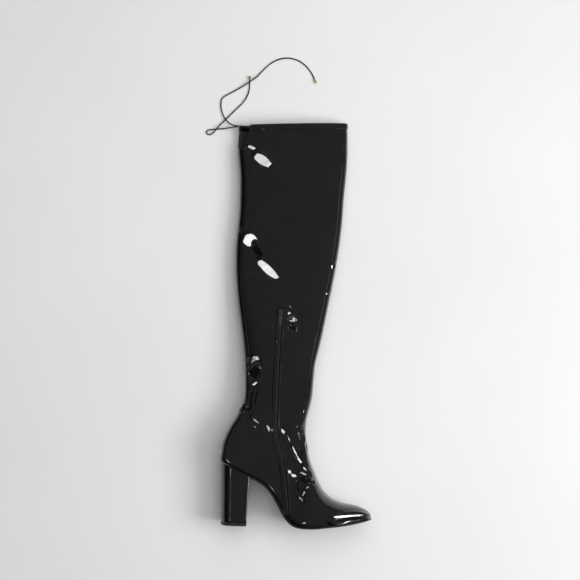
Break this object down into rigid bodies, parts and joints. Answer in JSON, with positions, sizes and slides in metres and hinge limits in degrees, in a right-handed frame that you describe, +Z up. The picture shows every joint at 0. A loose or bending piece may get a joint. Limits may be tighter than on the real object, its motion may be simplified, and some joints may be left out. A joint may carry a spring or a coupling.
{
  "type": "thigh-high boot",
  "caption": "Thigh-high boot in glossy black patent with a block heel, almond toe, inner-side zip and drawstring collar, lying empty on its outer side.",
  "frame": {"origin": "on the floor under the middle of the boot's box, its drawstring ends left out", "axes": "+X from heel to toe, +Y up the leg from sole to collar, +Z up off the floor, from the outer side of the leg to the inner side"},
  "size_m": [0.2579, 0.7035, 0.0795],
  "materials": {
    "patent": "black high-gloss patent coating",
    "sole_rubber": "matt with fine moulded grain",
    "lining": "black knitted lining",
    "zip_tape": "black woven tape with a nylon coil",
    "zip_metal": "black lacquer, satin",
    "cord": "black satin coated cord",
    "gold": "pale gold plating, polished"
  },
  "bodies": {
    "boot": {"upper": "patent", "counter": "patent", "collar_hem": "patent", "insole": "lining", "outsole": "sole_rubber", "heel_block": "patent", "top_piece": "sole_rubber", "zip_strip": "zip_tape", "zip_slider": "zip_metal", "drawstring_short": "cord", "drawstring_long": "cord", "tip_short": "gold", "tip_long": "gold"},
    "pull": {"zip_pull": "zip_metal"}
  },
  "joints": [
    {"name": "zip_pull_hinge", "type": "hinge", "parent": "boot", "child": "pull", "pos_m": [-0.02685, 0.01699, 0.05016], "axis": [-0.9994, 0.0342, -0.0054], "range_deg": [0, 165]}
  ]
}
